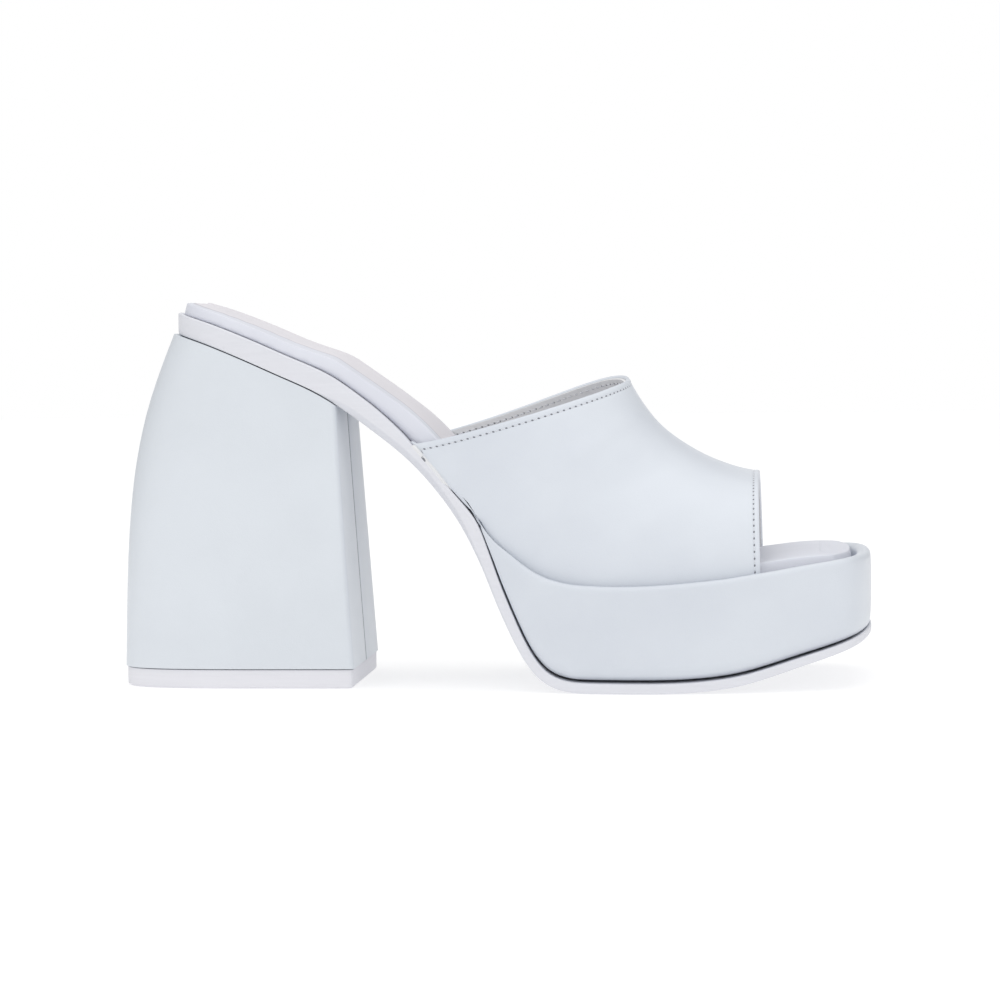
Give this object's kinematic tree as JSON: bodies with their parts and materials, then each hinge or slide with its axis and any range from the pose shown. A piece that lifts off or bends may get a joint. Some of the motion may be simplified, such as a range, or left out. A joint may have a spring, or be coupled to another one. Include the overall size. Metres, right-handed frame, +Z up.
{
  "type": "platform mule",
  "caption": "Open-back, open-toe platform mule for the right foot: high covered block heel, wide hollow vamp band, padded footbed in a leather-wrapped platform, continuous outsole.",
  "frame": {"origin": "centre of the wearing plate's ground face under the heel", "axes": "+X from heel to toe, +Y towards the inner (medial) side of the foot, +Z up from the ground"},
  "size_m": [0.2428, 0.0928, 0.1243],
  "materials": {
    "top_piece": "matte",
    "heel_cover": "satin",
    "outsole": "matte",
    "platform_wrap": "satin",
    "footbed_cover": "satin",
    "upper_leather": "satin"
  },
  "bodies": {
    "root": {"top_piece": "top_piece", "heel_block": "heel_cover", "outsole": "outsole", "platform": "platform_wrap", "footbed": "footbed_cover", "upper": "upper_leather"}
  },
  "joints": []
}
